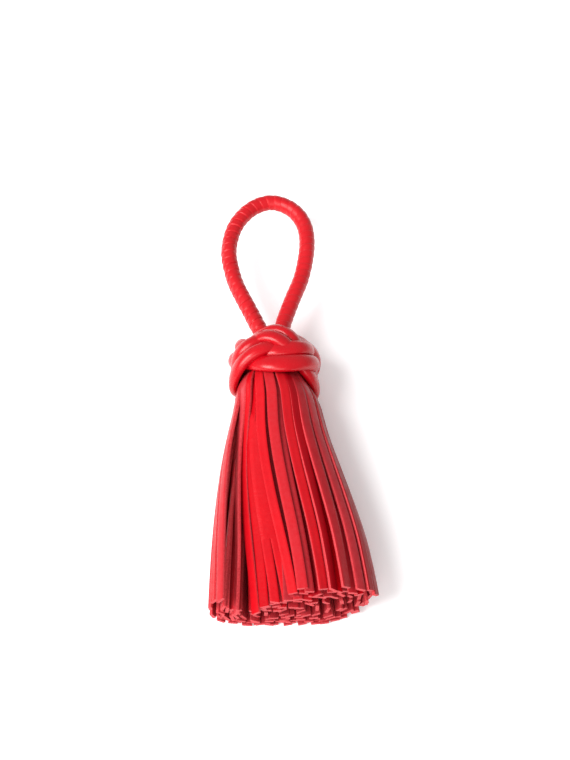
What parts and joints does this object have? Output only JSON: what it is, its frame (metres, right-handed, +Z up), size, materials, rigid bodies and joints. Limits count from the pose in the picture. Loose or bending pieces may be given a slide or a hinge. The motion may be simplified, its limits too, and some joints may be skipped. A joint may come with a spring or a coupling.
{
  "type": "leather tassel",
  "caption": "Leather tassel lying on its back: a wrapped hanging loop, a woven cord knot and a full skirt of flat cut strips that fan out on the surface",
  "frame": {"origin": "on the surface that the tassel lies on, under the middle of its box", "axes": "+Z up, +Y from the cut ends towards the hanging loop, +X to the right seen from above with the loop away from the viewer"},
  "size_m": [0.0577, 0.1732, 0.0317],
  "materials": {
    "loop_leather": "satin",
    "knot_leather": "satin",
    "strip_leather": "satin"
  },
  "bodies": {
    "root": {"loop": "loop_leather", "knot": "knot_leather", "fringe": "strip_leather"}
  },
  "joints": []
}
